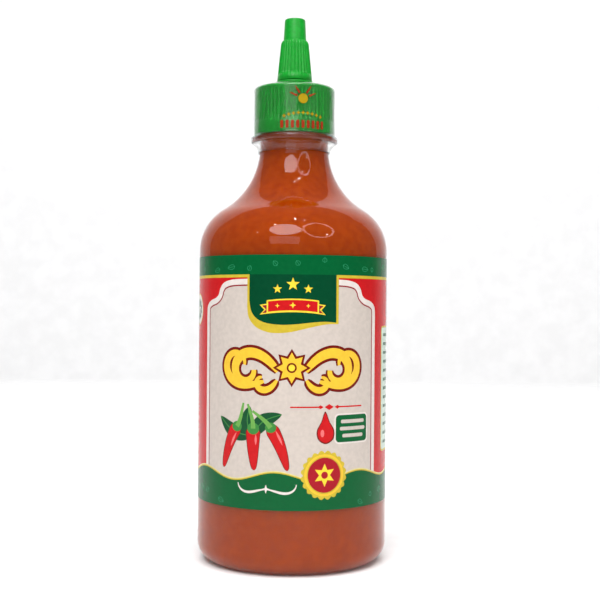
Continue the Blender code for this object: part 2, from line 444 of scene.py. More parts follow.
# %% [markdown]
# The cap and its tip are moulded in green plastic with upright grooves: sixty between the
# ribs of the cap's skirt, thirty-two flutes on the tip. Each is spun with several columns of
# points to a groove. Columns with the same place in their groove are then scaled towards
# the axis together, which presses all the grooves in at once.

# %% Pressing grooves into a turned piece
OUTER_SHARE = 0.75
GROOVE_FULLNESS = 0.8


def pick(piece):
    """Makes a piece the only selected and the active one."""
    bpy.ops.object.select_all(action="DESELECT")
    piece.select_set(True)
    bpy.context.view_layer.objects.active = piece


def press_grooves(piece, count, columns, rows, depth, mean_radius):
    """Scales groove columns inwards. Rows are (low, high, share of the depth)."""
    pick(piece)
    bpy.ops.object.mode_set(mode="EDIT")
    bpy.ops.mesh.select_mode(type="VERT")
    for row_low, row_high, share in rows:
        for column in range(1, columns // 2 + 1):
            mesh = bmesh.from_edit_mesh(piece.data)
            for v in mesh.verts:
                turn = math.atan2(v.co.y, v.co.x) / (2 * math.pi) * count
                place = round((turn % 1) * columns) % columns
                outer = math.hypot(v.co.x, v.co.y) > mean_radius * OUTER_SHARE
                here = row_low < v.co.z < row_high and outer
                v.select = here and place in (column, columns - column)
            mesh.select_flush_mode()
            bmesh.update_edit_mesh(piece.data)
            fullness = math.sin(math.pi * column / columns) ** GROOVE_FULLNESS
            pressed = depth * share * fullness
            factor = 1 - pressed / mean_radius
            bpy.ops.transform.resize(value=(factor, factor, 1), center_override=(0, 0, 0))
    bpy.ops.object.mode_set(mode="OBJECT")
    print(piece.name, "has", count, "grooves")

# %% [markdown]
# The cap's outline starts on the axis: a thin pin, the spout, a low collar, a sloping roof
# with a rounded edge, the straight skirt and a smooth band. The bore is plain, because the
# thread in it can't be seen.

# %% The cap's outline
CAP_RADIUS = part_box("screw_cap")[1].x
CAP_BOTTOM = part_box("screw_cap")[0].z
PIN_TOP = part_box("screw_cap")[1].z
CAP_BAND_TOP = 157.4 * MM
CAP_EDGE_Z = 169.5 * MM
CAP_EDGE_ROUNDING = 1.0 * MM
CAP_SLOPE_DEG = 16
COLLAR_RADIUS = 7.3 * MM
COLLAR_TOP = 172.9 * MM
COLLAR_ROUNDING = 0.25 * MM
SKIRT_BORE = 12.9 * MM
RIB_RADIUS = 14.45 * MM
RIB_ROWS = 16
SPOUT_FOOT_RADIUS = 4.4 * MM
SPOUT_RADIUS = 2.6 * MM
SPOUT_STRAIGHT_FROM = 186.0 * MM
SPOUT_TOP = 192.4 * MM
PIN_RADIUS = 0.9 * MM
SMALL_ROUNDING = 0.3 * MM
ROOF_CLEARANCE = 0.3 * MM


def cap_edge(clearance, steps=8):
    """Rounded edge between the cap's slope and its skirt, downwards."""
    centre = (CAP_RADIUS - CAP_EDGE_ROUNDING, CAP_EDGE_Z)
    return arc(centre, CAP_EDGE_ROUNDING + clearance, 90 - CAP_SLOPE_DEG, 0, steps)


def slope_height(radius):
    """Height of the cap's sloping top at a radius."""
    start = cap_edge(0)[0]
    return start[1] + (start[0] - radius) * math.tan(math.radians(CAP_SLOPE_DEG))


def even_heights(radius, top, bottom, count):
    """Points straight down a wall, evenly spaced."""
    return [(radius, top + (bottom - top) * i / count) for i in range(count + 1)]


def rounded_top(radius, top, rounding):
    """A small rounded edge at the top of a wall."""
    return arc((radius - rounding, top - rounding), rounding, 90, 0, 4)


spout = [(0, PIN_TOP)] + rounded_top(PIN_RADIUS, PIN_TOP, SMALL_ROUNDING)
spout += [(PIN_RADIUS, SPOUT_TOP), (SPOUT_RADIUS, SPOUT_TOP)]
spout += [(SPOUT_RADIUS, SPOUT_STRAIGHT_FROM), (SPOUT_FOOT_RADIUS, COLLAR_TOP)]
collar = rounded_top(COLLAR_RADIUS, COLLAR_TOP, COLLAR_ROUNDING)
collar += [(COLLAR_RADIUS, slope_height(COLLAR_RADIUS))]
ribbed = even_heights(RIB_RADIUS, CAP_EDGE_Z - 0.4 * MM, CAP_BAND_TOP + 0.3 * MM, RIB_ROWS)
band = [(CAP_RADIUS, CAP_BAND_TOP)]
hem_centre = (CAP_RADIUS - SMALL_ROUNDING, CAP_BOTTOM + SMALL_ROUNDING)
band += arc(hem_centre, SMALL_ROUNDING, 0, -90, 4)
roof = MOUTH + ROOF_CLEARANCE
inner = [(SKIRT_BORE, CAP_BOTTOM), (SKIRT_BORE, roof), (0, roof)]
cap_outline = spout + collar + cap_edge(0) + ribbed + band + inner
print("cap outline:", len(cap_outline), "points")

# %% [markdown]
# Eight columns to a rib leave each rib rounded. The grooves are pressed less deep near the
# skirt's ends, where they run out.

# %% Spinning and ribbing the cap
RIB_COUNT = 60
RIB_COLUMNS = 8
RIB_DEPTH = 0.36 * MM
cap_piece = turned("ribbed_cap", cap_outline, RIB_COUNT * RIB_COLUMNS, crease_deg=50)
rib_rows = (
    (CAP_BAND_TOP + 1.2 * MM, CAP_EDGE_Z - 1.3 * MM, 1.0),
    (CAP_BAND_TOP + 0.4 * MM, CAP_BAND_TOP + 1.2 * MM, 0.55),
    (CAP_EDGE_Z - 1.3 * MM, CAP_EDGE_Z - 0.5 * MM, 0.6),
)
press_grooves(cap_piece, RIB_COUNT, RIB_COLUMNS, rib_rows, RIB_DEPTH, RIB_RADIUS)
stands_for(cap_piece, "green_plastic", "screw_cap")

# %% [markdown]
# The tip is a hollow cone that is turned to open the spout. Outside it has a narrow neck, a
# rounded step, the fluted cone and a smooth band. Inside it follows the spout with a gap.

# %% The twist tip's outline
TIP_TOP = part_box("twist_tip")[1].z
TIP_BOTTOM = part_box("twist_tip")[0].z
TIP_FOOT_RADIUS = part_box("twist_tip")[1].x
TIP_TOP_RADIUS = 3.78 * MM
TIP_EDGE_ROUNDING = 0.5 * MM
TIP_WAIST_RADIUS = 4.16 * MM
TIP_STEP_RADIUS = 5.16 * MM
TIP_STEP_TOP = 188.2 * MM
TIP_STEP_BOTTOM = 186.0 * MM
TIP_STEP_STEPS = 8
TIP_BAND_TOP = 175.9 * MM
TIP_CONE_STEPS = 14
TIP_BAND_BEVEL = 0.2 * MM
TIP_FOOT_BEVEL = 0.25 * MM
TIP_HOLE_RADIUS = 1.25 * MM
TIP_BORE_TOP = 193.0 * MM
TIP_CLEARANCE = 0.5 * MM


def cone_radius(height):
    """Radius of the tip's cone between its step and its foot."""
    share = (TIP_STEP_BOTTOM - height) / (TIP_STEP_BOTTOM - TIP_BOTTOM)
    return TIP_STEP_RADIUS + (TIP_FOOT_RADIUS - TIP_STEP_RADIUS) * share


edge_centre = (TIP_TOP_RADIUS - TIP_EDGE_ROUNDING, TIP_TOP - TIP_EDGE_ROUNDING)
tip_outline = [(TIP_HOLE_RADIUS, TIP_TOP)] + arc(edge_centre, TIP_EDGE_ROUNDING, 90, 0, 6)
step_width = TIP_STEP_RADIUS - TIP_WAIST_RADIUS
step_drop = TIP_STEP_TOP - TIP_STEP_BOTTOM
for i in range(TIP_STEP_STEPS + 1):
    angle = math.radians(90 - 90 * i / TIP_STEP_STEPS)
    across = TIP_WAIST_RADIUS + step_width * math.cos(angle)
    tip_outline.append((across, TIP_STEP_BOTTOM + step_drop * math.sin(angle)))
for i in range(1, TIP_CONE_STEPS + 1):
    height = TIP_STEP_BOTTOM - (TIP_STEP_BOTTOM - TIP_BAND_TOP) * i / TIP_CONE_STEPS
    tip_outline.append((cone_radius(height), height))
for height in (TIP_BAND_TOP - TIP_BAND_BEVEL, TIP_BOTTOM + TIP_FOOT_BEVEL):
    tip_outline.append((cone_radius(height), height))
tip_outline += [
    (TIP_FOOT_RADIUS - TIP_BAND_BEVEL, TIP_BOTTOM),
    (SPOUT_FOOT_RADIUS + TIP_CLEARANCE, TIP_BOTTOM),
    (SPOUT_RADIUS + TIP_CLEARANCE, SPOUT_STRAIGHT_FROM),
    (SPOUT_RADIUS + TIP_CLEARANCE, TIP_BORE_TOP),
    (TIP_HOLE_RADIUS, TIP_BORE_TOP),
    (TIP_HOLE_RADIUS, TIP_TOP),
]
print("tip outline:", len(tip_outline), "points")

# %% [markdown]
# The tip is spun and grooved like the cap. Its flutes run on over the rounded step, less
# deep with every row, and fade out below the narrow neck.

# %% Spinning and fluting the tip
FLUTE_COUNT = 32
FLUTE_COLUMNS = 10
FLUTE_DEPTH = 0.34 * MM
FLUTE_MEAN_RADIUS = TIP_STEP_RADIUS + 0.4 * MM
tip_piece = turned("fluted_tip", tip_outline, FLUTE_COUNT * FLUTE_COLUMNS, crease_deg=50)
flute_rows = (
    (TIP_BAND_TOP - 0.05 * MM, TIP_STEP_BOTTOM + 0.1 * MM, 1.0),
    (TIP_STEP_BOTTOM + 0.1 * MM, TIP_STEP_BOTTOM + 1.3 * MM, 0.8),
    (TIP_STEP_BOTTOM + 1.3 * MM, TIP_STEP_TOP - 0.3 * MM, 0.45),
)
press_grooves(tip_piece, FLUTE_COUNT, FLUTE_COLUMNS, flute_rows, FLUTE_DEPTH, FLUTE_MEAN_RADIUS)
stands_for(tip_piece, "green_plastic", "twist_tip")

# %% [markdown]
# Moulded plastic is satin, with a fine grain. One noise varies its colour and roughness and
# gives a very shallow relief. Cap and tip share this material.

# %% Green moulded plastic
green_plastic, shader = new_material(
    "green_moulded_plastic", Roughness=0.3, Specular_IOR_Level=0.35
)
grain = object_noise(green_plastic, 900, 3)
vary_colour(green_plastic, shader, grain, linear(0, 140, 32), linear(0, 152, 38))
vary_roughness(green_plastic, shader, grain, 0.3, 0.42)
bump(green_plastic, shader, grain, 0.02 * MM, 0.5)
wear(cap_piece, green_plastic)
wear(tip_piece, green_plastic)
print("cap and tip wear", green_plastic.name)

# %% [markdown]
# The label is a printed sleeve with fields of colour and plain ornaments. Stacked shapes
# would give the ink a thickness that it doesn't have. So each shape is only an outline at
# first, in millimetres on a flat strip: u runs to the right from the middle of the front, v
# runs up from the table. The first tools draw lines.

# %% Rounded lines and scrolls
def rounded_between(a, b, c, d, t):
    """The point at share t from b to c, on a line through a, b, c and d."""
    return tuple(
        b[k] + 0.5 * t * (
            c[k] - a[k]
            + t * (2 * a[k] - 5 * b[k] + 4 * c[k] - d[k] + t * (3 * (b[k] - c[k]) + d[k] - a[k]))
        )
        for k in (0, 1)
    )


def smooth_line(points, closed=False, step=0.5):
    """A rounded line through a few points."""
    count = len(points)
    line = []
    for i in range(count if closed else count - 1):
        if closed:
            a, b, c, d = (points[(i + k) % count] for k in (-1, 0, 1, 2))
        else:
            a, b, c, d = (points[min(max(i + k, 0), count - 1)] for k in (-1, 0, 1, 2))
        pieces = max(2, round(math.dist(b, c) / step))
        line += [rounded_between(a, b, c, d, j / pieces) for j in range(pieces)]
    if not closed:
        line.append(tuple(points[-1]))
    return line


def scroll(start, heading_deg, length, curl_start, curl_end, step=0.45):
    """A line whose bend changes evenly from curl_start to curl_end, in 1/mm."""
    x, y = start
    line = [(x, y)]
    pieces = round(length / step)
    for i in range(pieces):
        s = (i + 0.5) / pieces * length
        heading = math.radians(heading_deg) + curl_start * s
        heading += (curl_end - curl_start) * s * s / (2 * length)
        x += math.cos(heading) * length / pieces
        y += math.sin(heading) * length / pieces
        line.append((x, y))
    return line


def along_line(line):
    """Each point of a line, with the line's direction there."""
    for i, (x, y) in enumerate(line):
        before, after = line[max(i - 1, 0)], line[min(i + 1, len(line) - 1)]
        yield x, y, math.atan2(after[1] - before[1], after[0] - before[0])


def moved_in(line, amount):
    """A line moved to its right-hand side."""
    return [
        (x + math.sin(way) * amount, y - math.cos(way) * amount)
        for x, y, way in along_line(line)
    ]


def mirrored(outline, axis=0.0):
    """An outline mirrored left to right."""
    return [(2 * axis - x, y) for x, y in outline]

# %% [markdown]
# A pen stroke is a line whose width swells and thins. Discs, stars, scalloped rounds, boxes
# and leaves come from short loops too, so that no outline is a long list.

# %% Strokes and simple outlines
def stroke(line, width):
    """The outline of a pen stroke. Its width is a number or a function of the share."""
    left, right = [], []
    for i, (x, y, way) in enumerate(along_line(line)):
        half = (width(i / (len(line) - 1)) if callable(width) else width) / 2
        left.append((x - math.sin(way) * half, y + math.cos(way) * half))
        right.append((x + math.sin(way) * half, y - math.cos(way) * half))
    return left + right[::-1]


def swelling(thin, thick, lean=1.0):
    """A stroke's width: thin at both ends and thick between them."""
    return lambda s: thin + (thick - thin) * math.sin(math.pi * s ** lean)


def disc(centre, radius, squash=1.0, points=40):
    """A round or oval outline."""
    x, y = centre
    turns = [2 * math.pi * i / points for i in range(points)]
    return [(x + radius * math.cos(t), y + radius * squash * math.sin(t)) for t in turns]


def star(centre, radius, rays=5, inner=0.42, turn_deg=90):
    """A star. Two rays make a diamond."""
    outline = []
    for i in range(2 * rays):
        reach = radius * (1 if i % 2 == 0 else inner)
        outline.append(swung(centre, reach, math.radians(turn_deg + 180 * i / rays)))
    return outline


def scalloped(centre, radius, lobes, depth, points=96):
    """A round outline with an edge of lobes."""
    outline = []
    for i in range(points):
        turn = 2 * math.pi * i / points
        reach = radius + depth * abs(math.sin(lobes * turn / 2)) - depth / 2
        outline.append(swung(centre, reach, turn))
    return outline


def rounded_box(left, bottom, right, top, radius, steps=6):
    """A box with rounded corners."""
    corners = (
        (right - radius, top - radius, 0),
        (left + radius, top - radius, 90),
        (left + radius, bottom + radius, 180),
        (right - radius, bottom + radius, 270),
    )
    outline = []
    for x, y, start in corners:
        outline += arc((x, y), radius, start, start + 90, steps)
    return outline


def leaf(base_point, tip, width, bow=0.0):
    """A pointed leaf and its midrib, with its middle pushed aside by bow."""
    across = (-(tip[1] - base_point[1]), tip[0] - base_point[0])
    middle = tuple((base_point[k] + tip[k]) / 2 + across[k] * bow for k in (0, 1))
    rib = smooth_line([base_point, middle, tip], step=0.6)
    return stroke(rib, lambda s: width * math.sin(math.pi * s ** 0.8) ** 0.9 + 0.02), rib


def bar(middle, height, half_width, half_height, radius, steps=6):
    """A rounded bar round its middle."""
    left, right = middle - half_width, middle + half_width
    return rounded_box(left, height - half_height, right, height + half_height, radius, steps)

# %% [markdown]
# The print is a list of shapes, and each covers those before it. Red comes first. On the
# front lies a cream panel with stepped shoulders, a dark red line and a white rim. One side
# is drawn, then moved inwards for each outline and mirrored.

# %% Red field and cream panel
STRIP_BOTTOM = 22.8
STRIP_TOP = 108.6
SLEEVE_RADIUS = 34.05
HALF_ROUND = math.pi * SLEEVE_RADIUS
PAST_EDGE = 2.0
UNDER = 20
OVER = 112
PANEL_MIDDLE = -1.05
PANEL_HALF = 35.15
PANEL_RIM = 1.9
PANEL_LINE = 0.5
print_job = []


def ink(name, outline):
    """Paints a shape over all the shapes before it."""
    print_job.append((name, outline))


beyond = HALF_ROUND + PAST_EDGE
ink("red", [(-beyond, UNDER), (beyond, UNDER), (beyond, OVER), (-beyond, OVER)])
panel_corner = [
    (PANEL_HALF, 80), (PANEL_HALF, 89.4), (34.2, 91.9), (32.0, 93.2), (29.2, 94.0), (27.6, 95.2),
    (26.8, 97.2), (25.0, 99.1), (21.5, 100.1), (16.0, 100.4), (8, 100.4),
]
panel_side = [(PANEL_HALF, UNDER)] + smooth_line(panel_corner)


def panel_outline(inset):
    """The panel's stepped arch, moved inwards."""
    right = moved_in(panel_side[::-1], inset)[::-1]
    left = [(PANEL_MIDDLE - x, y) for x, y in right[::-1]]
    return [(PANEL_MIDDLE + x, y) for x, y in right] + left


ink("white", panel_outline(0))
ink("dark_red", panel_outline(PANEL_RIM))
ink("cream", panel_outline(PANEL_RIM + PANEL_LINE))
print("panel", 2 * PANEL_HALF, "mm wide")

# %% [markdown]
# The foot is a green wave. A cosine with a whole number of waves round the bottle meets
# itself at the back. Two copies a little higher are the gold edge.

# %% Wave along the foot
WAVES_ROUND = 7
WAVE_LENGTH = 2 * HALF_ROUND / WAVES_ROUND
WAVE_CREST_AT = -5.5
WAVE_HEIGHT = 1.55
WAVE_LEVEL = 34.2
WAVE_STEPS = 220


def wave(u, lift):
    """Height of the wave at u, lifted."""
    turn = 2 * math.pi * (u - WAVE_CREST_AT) / WAVE_LENGTH
    return WAVE_LEVEL + lift + WAVE_HEIGHT * math.cos(turn)


def below_wave(lift):
    """All of the strip under the lifted wave."""
    along = [-beyond + 2 * beyond * i / WAVE_STEPS for i in range(WAVE_STEPS + 1)]
    return [(-beyond, UNDER), (beyond, UNDER)] + [(u, wave(u, lift)) for u in along[::-1]]


for name, lift in (("pale_gold", 0.35), ("gold", 0.0), ("green", -0.4)):
    ink(name, below_wave(lift))
print("wave length", round(WAVE_LENGTH, 2), "mm")

# %% [markdown]
# The head is a green band over a gold line. In the middle of the front it drops into a
# darker tab, with a gold swoosh along its foot: the space between two rounded lines.

# %% Band along the top, with its tab
BAND_FOOT = 101.9
BAND_LINE = 1.0
TAB_LEFT = -15.0
TAB_RIGHT = 15.4
TAB_EDGE_LEFT = TAB_LEFT - 0.8
TAB_EDGE_RIGHT = TAB_RIGHT + 0.9
TAB_GOLD_TOP = 104


def above(height):
    """All of the strip above a height."""
    return [(-beyond, height), (beyond, height), (beyond, OVER), (-beyond, OVER)]


swoosh = smooth_line([
    (TAB_EDGE_LEFT, 91), (-15.2, 87.4), (-12.8, 84.4), (-9.3, 82.75), (-5.9, 82.2),
    (-0.9, 82.5), (4.9, 83.8), (9.9, 84.9), (13.2, 85.3), (TAB_EDGE_RIGHT, 85.3),
])
tab_foot = smooth_line([
    (TAB_LEFT, 93), (-14.2, 89.4), (-12, 86.9), (-8.5, 85.5), (-3.4, 85.0),
    (1.6, 85.25), (6.6, 85.8), (11.5, 86.1), (TAB_RIGHT, 85.8),
])
ink("gold", above(BAND_FOOT - BAND_LINE))
ink("gold", [(TAB_EDGE_RIGHT, TAB_GOLD_TOP), (TAB_EDGE_LEFT, TAB_GOLD_TOP)] + swoosh)
ink("green", above(BAND_FOOT))
ink("tab_green", [(TAB_RIGHT, BAND_FOOT), (TAB_LEFT, BAND_FOOT)] + tab_foot)
print("tab", round(TAB_RIGHT - TAB_LEFT, 1), "mm wide")

# %% [markdown]
# The tab carries three stars over a plain ribbon: an arched band on a wider one with
# notched tails. A slightly larger gold copy under each is its edge.

# %% Stars and ribbon on the tab
TAB_MIDDLE = 0.2
ARCH_STEPS = 16
RIBBON_HEIGHT = 91.6
TAILS_HEIGHT = 90.9


def arched_band(half_width, middle, thickness, sag, tails=0.0):
    """A band that sags towards its ends, notched as deep as tails."""
    top, bottom = [], []
    for i in range(ARCH_STEPS + 1):
        u = -half_width + 2 * half_width * i / ARCH_STEPS
        lift = -sag * (u / half_width) ** 2
        top.append((TAB_MIDDLE + u, middle + lift + thickness / 2))
        bottom.append((TAB_MIDDLE + u, middle + lift - thickness / 2))
    if not tails:
        return top + bottom[::-1]
    right_notch = (TAB_MIDDLE + half_width - tails, middle - sag)
    left_notch = (TAB_MIDDLE - half_width + tails, middle - sag)
    return top + [right_notch] + bottom[::-1] + [left_notch]


for across, height, size in ((0, 98.6, 2.3), (-5.2, 97.0, 1.6), (5.2, 97.0, 1.6)):
    ink("gold_light", star((TAB_MIDDLE + across, height), size))
ink("gold_light", arched_band(11.3, TAILS_HEIGHT, 3.3, 0.9, 1.6))
ink("dark_red", arched_band(10.6, TAILS_HEIGHT, 2.6, 0.8, 1.5))
ink("gold_light", arched_band(8.9, RIBBON_HEIGHT, 4.4, 0.6))
ink("red", arched_band(8.4, RIBBON_HEIGHT, 3.5, 0.53))
for across, height, size in ((-5.2, 91.4, 0.75), (5.2, 91.4, 0.75), (0, RIBBON_HEIGHT, 1.1)):
    ink("gold_light", star((TAB_MIDDLE + across, height), size, 4, 0.4))
print("shapes so far:", len(print_job))

# %% [markdown]
# A gold scroll is a line that bends more and more, like a fern, with its mirror image. All
# the dark outlines go down before any gold, so that crossing scrolls flow into each other.

# %% Gold scrollwork
SCROLL_OUTLINE = 0.95
SCROLL_HEART = (0, 70.6)
GOLD_SCROLLS = (
    (scroll((4.6, 69.4), 52, 33, -0.02, -0.33), swelling(1.6, 3.4, 0.8)),
    (scroll((9.5, 66.0), -18, 31, 0.01, 0.33), swelling(1.0, 3.0, 0.8)),
    (scroll((5.0, 66.5), -60, 13, 0.05, 0.62), swelling(0.8, 2.2, 0.9)),
)


def outlined(width):
    """The width of the dark stroke under a gold one, narrower at both ends."""
    return lambda s: width(s) + 2 * SCROLL_OUTLINE * min(1, 6 * s + 0.55, 6 * (1 - s) + 0.55)


both_sides = [(side, width) for line, width in GOLD_SCROLLS for side in (line, mirrored(line))]
for line, width in both_sides:
    ink("maroon", stroke(line, outlined(width)))
for line, width in both_sides:
    ink("script_gold", stroke(line, width))
ink("maroon", star(SCROLL_HEART, 6.4, 8, 0.66))
ink("script_gold", star(SCROLL_HEART, 5.2, 8, 0.62))
ink("maroon", disc(SCROLL_HEART, 1.7))
ink("gold_light", disc(SCROLL_HEART, 1.1))
print("scrolls:", len(both_sides))

# %% [markdown]
# Under the scrollwork lies a thin rule with diamonds. A diamond is a star with two rays.

# %% Rule with diamonds
RULE_MIDDLE = 13
RULE_HEIGHT = 57.45
for middle in (RULE_MIDDLE - 8.5, RULE_MIDDLE + 8.5):
    ink("red", bar(middle, RULE_HEIGHT, 5.0, 0.25, 0.2))
for across, size in ((9.9, 1.1), (RULE_MIDDLE, 1.7), (16.1, 1.1)):
    ink("red", star((across, RULE_HEIGHT), size, 2, 0.6, 0))
print("rule at", RULE_HEIGHT, "mm")

# %% [markdown]
# Three pods fan out over three leaves. A pod is a stroke that is thick at its cap and runs
# out to a point, with a pale streak for its shine.

# %% Pods and leaves
LEAF_FOOT = (-14.0, 47.5)
STEM_LENGTH = 8.5
POD_OUTLINE = 0.5


def pod(foot, heading, length, bend, thick):
    """A pod with its shine, its green cap and its stem."""
    def taper(s):
        return thick * (1 - s) ** 0.45 * min(1, 0.72 + 3 * s)

    line = scroll(foot, heading, length, bend, bend * 0.3, 0.6)
    ink("maroon", stroke(line, lambda s: taper(s) + POD_OUTLINE))
    ink("red", stroke(line, taper))
    turn = math.radians(heading)
    aside = (-math.sin(turn) * thick * 0.2, math.cos(turn) * thick * 0.2)
    shine = [(x + aside[0], y + aside[1]) for x, y in line[3:-14]]
    ink("pink", stroke(shine, lambda s: 0.75 * math.sin(math.pi * s) + 0.05))
    ink("leaf_green", disc(foot, thick * 0.42, 0.9))
    stem = scroll(foot, heading + 180, STEM_LENGTH, 0.11, -0.02, 0.6)
    ink("stem_green", stroke(stem, lambda s: 1.7 - 0.9 * s))


for tip in ((-27.0, 53.5), (-14.5, 57.5), (-3.2, 55.0)):
    blade, rib = leaf(LEAF_FOOT, tip, 5.2, 0.12)
    ink("leaf_dark", blade)
    ink("leaf_green", stroke(rib, 0.3))
pod((-19.5, 50.5), 236, 15.5, 0.035, 4.6)
pod((-7.0, 50.5), 304, 15.5, -0.035, 4.6)
pod((-13.2, 50.0), 268, 14.0, 0.012, 5.2)
print("shapes so far:", len(print_job))

# %% [markdown]
# Beside the pods are a red drop and a green box with plain bars. The drop is one rounded
# line, drawn dark and then a little smaller in red.

# %% Green box and drop
BOX_MIDDLE = 22.6
ink("white", rounded_box(15.0, 44.9, 29.6, 55.1, 1.6))
ink("green", rounded_box(15.5, 45.4, 29.1, 54.6, 1.3))
for row, length in ((52.4, 10.2), (50.0, 11.0), (47.6, 9.0)):
    ink("cream", bar(BOX_MIDDLE, row, length / 2, 0.6, 0.5))

DROP_MIDDLE = (11.7, 49.8)
drop = smooth_line([
    (11.6, 56.0), (13.2, 52.6), (14.9, 49.6), (14.6, 46.6),
    (11.9, 45.0), (9.2, 46.4), (8.6, 49.4), (10.2, 52.6),
], closed=True)
ink("maroon", drop)
ink("red", [
    (DROP_MIDDLE[0] + (x - DROP_MIDDLE[0]) * 0.86, DROP_MIDDLE[1] + (y - DROP_MIDDLE[1]) * 0.9)
    for x, y in drop
])
ink("pink", disc((10.6, 48.6), 0.65, 1.9))
print("the drop has", len(drop), "points")

# %% [markdown]
# A round seal with a star lies on the wave. It is a stack of discs, each smaller than the
# last. Beside it is a pale flourish of two scrolls.

# %% Seal and flourish
SEAL = (11.5, 34.6)
FLOURISH = (-8.5, 29.8)
ink("gold", scalloped(SEAL, 7.9, 20, 0.9))
ink("script_gold", disc(SEAL, 7.0))
ink("gold", disc(SEAL, 6.3))
ink("seal_red", disc(SEAL, 5.9))
ink("gold_light", star(SEAL, 3.9, 6, 0.5))
ink("seal_red", disc(SEAL, 1.2))

flourish = scroll(FLOURISH, 0, 12, -0.16, 0.42)
for line in (mirrored(flourish, FLOURISH[0]), flourish):
    ink("white", stroke(line, swelling(0.25, 0.85)))
ink("white", star((FLOURISH[0], 29.9), 1.5, 4, 0.35))
print("shapes so far:", len(print_job))

# %% [markdown]
# The greens carry faint sprigs. A seeded draw puts each a little off an even spacing and
# turns it anyhow. None falls on the seal or the flourish.

# %% Faint sprigs on the greens
SPRIG_MARGIN = 5
SPRIG_REACH = (3.2, 1.6)
SPRIG_WIDTH = 1.6
BARE_FROM, BARE_TO = -22, 21
chance = random.Random(7)
for band_low, band_high, count in ((103.0, 107.4, 26), (25.0, 30.4, 34)):
    for i in range(count):
        spacing = 2 * HALF_ROUND - 2 * SPRIG_MARGIN
        across = -HALF_ROUND + SPRIG_MARGIN + spacing * (i + chance.random() * 0.5) / count
        height = chance.uniform(band_low, band_high)
        if BARE_FROM < across < BARE_TO and height < WAVE_LEVEL:
            continue
        turn = chance.uniform(0, 2 * math.pi)
        tip = (across + SPRIG_REACH[0] * math.cos(turn), height + SPRIG_REACH[1] * math.sin(turn))
        blade, rib = leaf((across, height), tip, SPRIG_WIDTH)
        ink("faint_green", stroke(blade + blade[:1], 0.16))
        ink("faint_green", stroke(rib, 0.14))
print("shapes so far:", len(print_job))

# %% [markdown]
# The sides carry light panels with rows of green bars, and a white badge. The back isn't
# seen in the photograph and stays red between the band and the wave.

# %% Sides and back
PANEL_FOOT, PANEL_HEAD = 41, 84
PANEL_EDGE = 0.6
BAR_ROWS = 13
BAR_PITCH = 3.15
FIRST_BAR = 81.4
BADGE = (-46.2, 90)
for left, right in ((40.2, 84), (-84, -52.5)):
    ink("gold", rounded_box(
        left - PANEL_EDGE, PANEL_FOOT - PANEL_EDGE, right + PANEL_EDGE, PANEL_HEAD + PANEL_EDGE, 1.6
    ))
    ink("pale_green", rounded_box(left, PANEL_FOOT, right, PANEL_HEAD, 1.2))
    for row in range(BAR_ROWS):
        height = FIRST_BAR - row * BAR_PITCH
        ragged = (row * 7) % 5
        ink("green", rounded_box(left + 2, height - 0.55, right - 2 - ragged, height + 0.55, 0.3))
ink("gold", disc(BADGE, 5.6))
ink("white", disc(BADGE, 5.2))
ink("green", scalloped(BADGE, 3.6, 12, 0.6))
ink("white", star(BADGE, 2.6, 5))
print("shapes in the print:", len(print_job))

# %% [markdown]
# All the inks lie in one skin. By hand one would cut the print's edges into it with a
# knife. Here a triangulation does it: it takes all the outlines and a row of upright
# strips, which let the skin bend, and returns triangles that never cross an edge.

# %% Cutting the print into one flat strip
STRIPS = 120
SAME_POINT = 0.002
cut_points, cut_edges = [], []


def cut_line(outline, closed=True):
    """Adds an outline to the lines that the triangles have to keep."""
    first = len(cut_points)
    cut_points.extend(outline)
    for i in range(len(outline) - (0 if closed else 1)):
        cut_edges.append((first + i, first + (i + 1) % len(outline)))


def kept_on_strip(outline):
    """An outline, with what is past the strip's edges pushed back onto them."""
    return [
        (min(max(x, -HALF_ROUND), HALF_ROUND), min(max(y, STRIP_BOTTOM), STRIP_TOP))
        for x, y in outline
    ]


cut_line([
    (-HALF_ROUND, STRIP_BOTTOM), (HALF_ROUND, STRIP_BOTTOM),
    (HALF_ROUND, STRIP_TOP), (-HALF_ROUND, STRIP_TOP),
])
for i in range(1, STRIPS):
    u = -HALF_ROUND + 2 * HALF_ROUND * i / STRIPS
    cut_line([(u, STRIP_BOTTOM), (u, STRIP_TOP)], closed=False)
for name, outline in print_job:
    cut_line(kept_on_strip(outline))
flat_points, _, flat_faces, *_ = mathutils.geometry.delaunay_2d_cdt(
    [mathutils.Vector(p) for p in cut_points], cut_edges, [], 0, SAME_POINT, False
)
print("flat strip:", len(flat_points), "points,", len(flat_faces), "triangles")

# %% [markdown]
# The last shape of the print that covers a triangle's middle gives it its ink. A shape
# covers a point that its outline winds round.

# %% Finding the ink of each triangle
def covered(outline, spots):
    """Which spots lie inside an outline."""
    xs, ys = spots[:, 0], spots[:, 1]
    turns = numpy.zeros(len(spots), int)
    for (x0, y0), (x1, y1) in zip(outline, outline[1:] + outline[:1]):
        side = (x1 - x0) * (ys - y0) - (xs - x0) * (y1 - y0)
        turns += ((y0 <= ys) & (y1 > ys) & (side > 0)).astype(int)
        turns -= ((y0 > ys) & (y1 <= ys) & (side < 0)).astype(int)
    return turns != 0


middles = numpy.array([
    [sum(flat_points[i][k] for i in face) / 3 for k in (0, 1)] for face in flat_faces
])
ink_names = sorted({name for name, _ in print_job})
face_ink = numpy.zeros(len(middles), int)
for name, outline in print_job:
    face_ink[covered(outline, middles)] = ink_names.index(name)
print("inks:", ", ".join(ink_names))

# %% [markdown]
# The strip is bent round the bottle, closed at the back, and thickened with a Solidify
# modifier. It shines like a smooth sleeve only if its normals point straight out from the
# axis, so these are set one by one.

# %% Bending the strip round the bottle
SLEEVE_THICKNESS = 0.12 * MM


